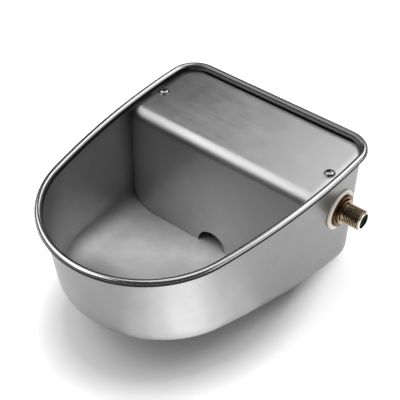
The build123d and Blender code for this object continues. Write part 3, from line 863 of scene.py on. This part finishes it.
def bowl_steel():
    """Pressed bowl: satin walls brushed round, a dull floor and a rim polished by its rollers, with painted
    shade, shadow and highlight.
    """
    finish = Finish("bowl_steel")
    x, y, z, lean = finish.axis("X"), finish.axis("Y"), finish.axis("Z"), finish.lean()
    clouds = finish.noise(14.0, 6.0, 0.62)
    mottle = finish.noise(42.0, 5.0, 0.62)
    brushed = finish.noise(420.0, 2.0, 0.6, stretch=(0.05, 0.05, 1.0))
    speckle = finish.noise(700.0, 2.0, 0.6, stretch=(0.25, 1.0, 1.0))
    shade = finish.uneven(clouds * 0.6 + mottle * 0.4)
    # where the skin is inside, on the floor, and on the bead
    inside = finish.ramp(finish.facing(BOWL_MIDDLE), 1.0, 0.0, -0.005, 0.005)
    above_floor = z * math.cos(FLOOR_TILT) + y * math.sin(FLOOR_TILT) + INNER_FLOOR
    floor = finish.ramp(above_floor, 1.0, 0.0, *FLOOR_EDGE) * inside
    rim = finish.ramp(z, 0.0, 1.0, *RIM_EDGE)
    at_back = finish.ramp(y, 0.0, 1.0, *BACK_BEAD)
    # floor: pale and dull, with painted shadow towards the front and the right of the front
    bottom = finish.blend(shade, rgb(0.72, 0.72, 0.72), rgb(0.96, 0.96, 0.955))
    forward = x * 0.68 - y * 0.73
    floor_shadow = finish.ramp(y, 1.0, 0.5, *FLOOR_FRONT) * finish.ramp(forward, 1.0, 0.62, *FLOOR_RIGHT)
    bottom = bottom.dim(floor_shadow)
    # walls: a pale painted highlight line at one height inside, and painted shade outside, by the cover's
    # face and in the gap behind the cover
    wall = finish.blend(shade, rgb(0.36, 0.36, 0.365), rgb(0.44, 0.44, 0.44))
    # scale here is a painted highlight: a pale line at one height round the inner walls
    scale = finish.band(z, *PAINTED_LINE_LEVEL) * inside * finish.ramp(mottle, 0.0, 0.8, 0.35, 0.65)
    wall = finish.blend(scale * 0.5, wall, rgb(0.80, 0.80, 0.79))
    # painted shade: the walls' outer skin is darkened to two thirds
    outer = 0.66 + inside * 0.34
    # painted shade on the inner walls, darkest by the cover's face
    cover_face_shade = 1 - finish.ramp(y, 0.55, 0.0, *COVER_SHADE) * inside
    # painted shade on the walls in the gap behind the cover
    behind = finish.ramp(z, 0.0, 0.45, *GAP_SHADE) * finish.ramp(y, 0.0, 1.0, *GAP_END)
    tone = finish.blend(floor, wall.dim(outer * cover_face_shade * (1 - behind * inside)), bottom)
    # bead: bright on top, with painted shade under it; at the back it is rougher, with painted shade and a
    # painted dark reflection line
    # painted shade along the underside of the bead, but not at the back
    under = finish.band(lean, *BEAD_UNDER_SHADE) * 0.94 * (1 - at_back)
    # painted dark reflection line along the back of the bead
    back_dark_line = finish.band(lean, *BEAD_DARK_LINE) * at_back
    # the bead's share left free of the painted shade under it, the back's painted dark line, and painted
    # shade two thirds deep over the back
    bead_unshaded = (1 - under) * (1 - back_dark_line) * (1 - at_back * 0.66)
    bead = finish.blend(bead_unshaded, BLACK, rgb(0.55, 0.55, 0.555))
    finish.feed("Base Color", finish.blend(rim, tone, bead))
    finish.feed("Metallic", 1 - floor * 0.55)
    dull = finish.ramp(clouds * 0.5 + brushed * 0.3 + mottle * 0.2, 0.30, 0.42, 0.35, 0.65)
    dull = dull + floor * 0.3
    polish = 0.2 + at_back * 0.15 + under * 0.6
    finish.feed("Roughness", dull * (1 - rim) + rim * polish)
    finish.bump((brushed * (1 - floor) + speckle * floor) * (1 - rim), 0.15, 0.00004)
    return finish


def cover_steel():
    """Cover plate: sheet brushed along its length, with painted shade where it is upright and at its left
    end.
    """
    finish = Finish("cover_steel", metallic=1.0)
    lean = finish.lean()
    clouds = finish.noise(9.0, 5.0, 0.6)
    mottle = finish.noise(50.0, 4.0, 0.65)
    brushed = finish.noise(500.0, 2.0, 0.6, stretch=(0.04, 1.0, 1.0))
    shade = finish.uneven(clouds * 0.6 + mottle * 0.4)
    tone = finish.blend(shade, rgb(0.55, 0.55, 0.555), rgb(0.65, 0.65, 0.65))
    # painted shade: the bend darker towards the cover's left end
    left_end_shade = finish.ramp(finish.axis("X"), 0.32, 0.0, *COVER_LEFT) * finish.ramp(lean, 0.0, 1.0, 0.05, 0.3)
    # painted shade: the upright face darker than the top
    finish.feed("Base Color", tone.dim(finish.ramp(lean, 0.78, 1.0, 0.1, 0.9) * (1 - left_end_shade)))
    dull = clouds * 0.4 + brushed * 0.4 + mottle * 0.2
    finish.feed("Roughness", finish.ramp(dull, 0.34, 0.48, 0.35, 0.65))
    finish.bump(brushed, 0.15, 0.00004)
    return finish


def turned_steel():
    """Stainless screws, pins and rods, with painted shade on their sides."""
    finish = Finish("turned_steel", metallic=1.0)
    patches = finish.noise(150.0, 3.0, 0.6)
    lines = finish.noise(900.0, 2.0, 0.5, stretch=(1.0, 1.0, 0.1))
    mixed = patches * 0.5 + lines * 0.5
    tone = finish.blend(mixed, rgb(0.34, 0.34, 0.345), rgb(0.44, 0.44, 0.445))
    # painted shade: darker where the skin leans away from straight up
    finish.feed("Base Color", tone.dim(finish.ramp(finish.lean(), 0.22, 1.0, 0.55, 0.9)))
    finish.feed("Roughness", finish.ramp(mixed, 0.08, 0.14))
    return finish


def aged_brass(name):
    """Turned brass, browned by handling, and how far it is browned."""
    finish = Finish(name, metallic=1.0)
    patches = finish.noise(90.0, 5.0, 0.65)
    fine = finish.noise(600.0, 3.0, 0.6)
    age = finish.ramp(patches * 0.7 + fine * 0.3, 0.0, 1.0, 0.38, 0.62)
    finish.feed("Base Color", finish.blend(age, rgb(0.46, 0.33, 0.17), rgb(0.25, 0.145, 0.065)))
    finish.feed("Roughness", finish.ramp(age, 0.15, 0.28))
    finish.bump(fine, 0.1, 0.00002)
    return finish, age


def stub_brass():
    """The inlet's brass: a dark brown flange, paler threads with dirt in their roots, painted shade in the
    bore, a faced mouth.
    """
    finish, age = aged_brass("stub_brass")
    along = finish.axis("X") * (1 / MM)
    y, z = finish.axis("Y") * (1 / MM) - INLET_Y, finish.axis("Z") * (1 / MM) - INLET_Z
    radius = (y**2 + z**2) ** 0.5
    pale = finish.blend(age, rgb(0.60, 0.49, 0.34), rgb(0.40, 0.30, 0.18))
    root = finish.ramp(radius, 0.14, 1.0, STUB_RADIUS - 0.9, STUB_RADIUS)
    brown = finish.blend(age, rgb(0.13, 0.064, 0.022), rgb(0.05, 0.023, 0.008))
    flange = finish.ramp(along, 1.0, 0.0, STUB_X - 0.6, STUB_X + 0.4)
    # painted shade inside the bore
    bore_shade = finish.ramp(radius, 0.25, 1.0, MOUTH_BORE_RADIUS, MOUTH_BORE_RADIUS + 0.15)
    tone = finish.blend(flange, pale.dim(root), brown).dim(bore_shade)
    faced = finish.ramp(along, 0.0, 1.0, MOUTH_X - 1.3, MOUTH_X - 0.9)
    faced = faced * finish.ramp(radius, 0.0, 1.0, MOUTH_BORE_RADIUS + 0.05, MOUTH_BORE_RADIUS + 0.2)
    finish.feed("Base Color", finish.blend(faced, tone, rgb(0.76, 0.79, 0.68)))
    return finish


def moulded(name, low, high, dull=(0.4, 0.55)):
    """Moulded plastic or rubber: a little uneven in colour and gloss, with a fine grain."""
    finish = Finish(name)
    patches = finish.noise(35.0, 4.0, 0.6)
    fine = finish.noise(300.0, 3.0, 0.6)
    mixed = finish.uneven(patches * 0.6 + fine * 0.4)
    finish.feed("Base Color", finish.blend(mixed, rgb(*low), rgb(*high)))
    finish.feed("Roughness", finish.ramp(mixed, *dull))
    finish.bump(fine, 0.25, 0.00003)
    return finish


bowl_steel().on(bowl, slot="stainless_sheet")
plate = cover_steel()
plate.on(cover, slot="stainless_sheet")
chrome = turned_steel()
chrome.on(*screws, slot="stainless_screw")
stub_brass().on(stub, slot="brass")
brass, _ = aged_brass("valve_brass")
strainer_green = moulded("strainer_green", (0.016, 0.040, 0.014), (0.030, 0.062, 0.024))
nylon = moulded("nylon_cream", (0.93, 0.88, 0.75), (0.98, 0.95, 0.84), (0.42, 0.55))
rubber = moulded("black_rubber", (0.014, 0.014, 0.014), (0.028, 0.028, 0.027), (0.6, 0.8))
white_plastic = moulded("white_plastic", (0.76, 0.76, 0.73), (0.84, 0.84, 0.82), (0.35, 0.45))
float_black = moulded("float_black", (0.016, 0.016, 0.018), (0.030, 0.030, 0.032), (0.36, 0.5))

# ---------------------------------------------------------------- pieces kept from the solids

BODY_OF = {
    node: body for body, nodes in frame["record"]["behaviour"]["bodies"].items() for node in nodes
}


def dressed(node, name, edge, angle=30.0):
    """Copy of a solid with its sharp edges rounded by `edge` mm, which stands in for it."""
    source = frame["nodes"][node]
    copy = bpy.data.objects.new(name, source.data.copy())
    copy.matrix_world = source.matrix_world.copy()
    copy.data.name = name
    bpy.context.scene.collection.objects.link(copy)
    copy.data.materials.clear()
    tidy_mesh(copy, angle)
    soften(copy, edge, segments=2, angle=angle, sharp=angle)
    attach(copy, BODY_OF[node])
    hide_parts(node)
    return copy


# node: name of its piece, rounding of its edges in mm, finish, slot
MADE_PIECES = {
    "cover_bracket_left": ("cover_bracket_left_folded", 0.2, plate, "stainless_sheet"),
    "cover_bracket_right": ("cover_bracket_right_folded", 0.2, plate, "stainless_sheet"),
    "bracket_nut_left": ("bracket_nut_left_pressed", 0.25, chrome, "stainless_screw"),
    "bracket_nut_right": ("bracket_nut_right_pressed", 0.25, chrome, "stainless_screw"),
    "inlet_strainer": ("inlet_strainer_moulded", 0.12, strainer_green, "strainer_plastic"),
    "outer_washer": ("outer_washer_moulded", 0.4, nylon, "nylon_washer"),
    "inner_gasket": ("inner_gasket_moulded", 0.3, rubber, "black_rubber"),
    "lock_nut": ("lock_nut_turned", 0.5, brass, "brass"),
    "valve_body": ("valve_body_cast", 0.5, brass, "brass"),
    "seat_nozzle": ("seat_nozzle_moulded", 0.15, white_plastic, "white_plastic"),
    "piston": ("piston_turned", 0.2, brass, "brass"),
    "piston_washer": ("piston_washer_moulded", 0.2, rubber, "black_rubber"),
    "valve_cap": ("valve_cap_turned", 0.3, brass, "brass"),
    "pivot_pin": ("pivot_pin_turned", 0.2, chrome, "stainless_screw"),
    "float_lever": ("float_lever_cast", 0.45, brass, "brass"),
    "float_rod": ("float_rod_turned", 0.25, chrome, "stainless_screw"),
    "float_rod_nut": ("float_rod_nut_turned", 0.3, chrome, "stainless_screw"),
    "float_upper_shell": ("float_upper_shell_moulded", 0.4, float_black, "float_plastic"),
    "float_lower_shell": ("float_lower_shell_moulded", 0.4, float_black, "float_plastic"),
}
for node, (name, edge, finish, slot_name) in MADE_PIECES.items():
    finish.on(dressed(node, name, edge), slot=slot_name)
chrome.on(frame["nodes"]["split_pin"], slot="stainless_screw")

# ---------------------------------------------------------------- studio

FLOOR_REACH = 1.5
BACKDROP_REACH = 8.0
BACKDROP_ROWS = 12
FLOOR_GLOW = 0.4
GLOW_WIDTH = 0.112
GLOW_LENGTH = 0.15
GLOW_EDGE = (0.92, 1.2)
AIR_GLOW = 0.06
CARD_PLACE = (0.155, -0.265)

# turn from straight back and height, in degrees; distance, width and length in metres; radiance
SOFTBOXES = {
    "back_box": (18.0, 45.0, 1.8, 2.3, 0.8, 1.9),
    "top_box": (10.0, 78.0, 1.8, 1.7, 1.1, 1.3),
    "left_front_box": (-120.0, 50.0, 1.8, 2.6, 1.3, 1.8),
    "right_low_box": (66.0, 14.0, 1.8, 1.6, 0.7, 1.0),
    "floor_light": (0.0, 90.0, 2.5, 3.0, 3.0, 1.2),
}
# size, radiance and height of the round cards that lie before the bowl and glow upwards
FRONT_CARDS = {
    "front_card_wide": (0.26, 0.42, -0.1030),
    "front_card_middle": (0.18, 0.5, -0.1027),
    "front_card_small": (0.10, 0.75, -0.1024),
}


def stage_mesh(name, verts, faces, finish):
    """Piece of the stage, from points in metres."""
    mesh = bpy.data.meshes.new(name)
    mesh.from_pydata(verts, [], faces)
    obj = bpy.data.objects.new(name, mesh)
    bpy.context.scene.collection.objects.link(obj)
    mesh.materials.append(finish.material)
    mesh.shade_smooth()
    return obj


def ring(radius, level, count=96):
    """Points of a level circle round the bowl."""
    turns = [2 * math.pi * k / count for k in range(count)]
    return [(radius * math.cos(t), radius * math.sin(t) + BOWL_MIDDLE[1], level) for t in turns]


def make_floor():
    """Pale floor under the bowl, glowing but for a painted shadow round the bowl, and the pale backdrop that
    it runs out into.
    """
    level = cad_size[0][2] - 0.0002
    pale = Finish("floor_white", roughness=0.9, base_color=rgb(0.92, 0.92, 0.92))
    pale.shader.inputs["Emission Strength"].default_value = FLOOR_GLOW
    across = pale.axis("X") * (1 / GLOW_WIDTH)
    along = (pale.axis("Y") - BOWL_MIDDLE[1]) * (1 / GLOW_LENGTH)
    away = (across**2 + along**2) ** 0.5
    # the floor glows but for a painted shadow round the bowl, where the glow fades out
    pale.feed("Emission Color", pale.blend(pale.ramp(away, 0.0, 1.0, *GLOW_EDGE), BLACK, WHITE))
    edge = ring(FLOOR_REACH, level)
    stage_mesh("studio_floor", edge, [tuple(range(len(edge)))], pale)
    air = Finish("backdrop_white", roughness=1.0, base_color=BLACK, emission_color=WHITE)
    air.shader.inputs["Emission Strength"].default_value = 1.0
    rows = [ring(FLOOR_REACH - 0.01, level - 0.001), ring(BACKDROP_REACH, level - 0.001)]
    for k in range(1, BACKDROP_ROWS):
        turn = math.pi / 2 * k / BACKDROP_ROWS
        rows.append(ring(BACKDROP_REACH * math.cos(turn), level + BACKDROP_REACH * math.sin(turn)))
    verts, faces = skin(rows)
    verts.append((0.0, BOWL_MIDDLE[1], level + BACKDROP_REACH))
    last = (len(rows) - 1) * len(edge)
    faces += [(last + j, last + (j + 1) % len(edge), len(verts) - 1) for j in range(len(edge))]
    backdrop = stage_mesh("studio_backdrop", verts, faces, air)
    backdrop.visible_glossy = False
    backdrop.visible_diffuse = False
    backdrop.visible_shadow = False


def softbox(name, turn, height, distance, width, length, radiance, aim=BOWL_MIDDLE):
    """Area light at a turn from straight back and a height, both in degrees, aimed at the bowl."""
    data = bpy.data.lights.new(name, "AREA")
    data.shape = "RECTANGLE"
    data.size = width
    data.size_y = length
    data.energy = radiance * width * length * math.pi
    light = bpy.data.objects.new(name, data)
    t, h = math.radians(turn), math.radians(height)
    way = Vector((math.sin(t) * math.cos(h), math.cos(t) * math.cos(h), math.sin(h)))
    light.location = Vector(aim) + way * distance
    light.rotation_mode = "QUATERNION"
    light.rotation_quaternion = (-way).to_track_quat("-Z", "Y")
    light.visible_camera = False
    bpy.context.scene.collection.objects.link(light)
    return light


def make_studio():
    """Floor, backdrop, lights and the faint light of the air."""
    make_floor()
    for name, settings in SOFTBOXES.items():
        box = softbox(name, *settings)
        box.visible_glossy = name != "floor_light"
    for name, (size, radiance, height) in FRONT_CARDS.items():
        card = softbox(name, 0.0, -90.0, 0.0, size, size, radiance, aim=(*CARD_PLACE, height))
        card.data.shape = "ELLIPSE"
    world = bpy.data.worlds.new("studio_air")
    world.use_nodes = True
    background = world.node_tree.nodes["Background"]
    background.inputs[0].default_value = WHITE
    background.inputs[1].default_value = AIR_GLOW
    bpy.context.scene.world = world


make_studio()
bpy.context.scene.view_settings.view_transform = "Standard"
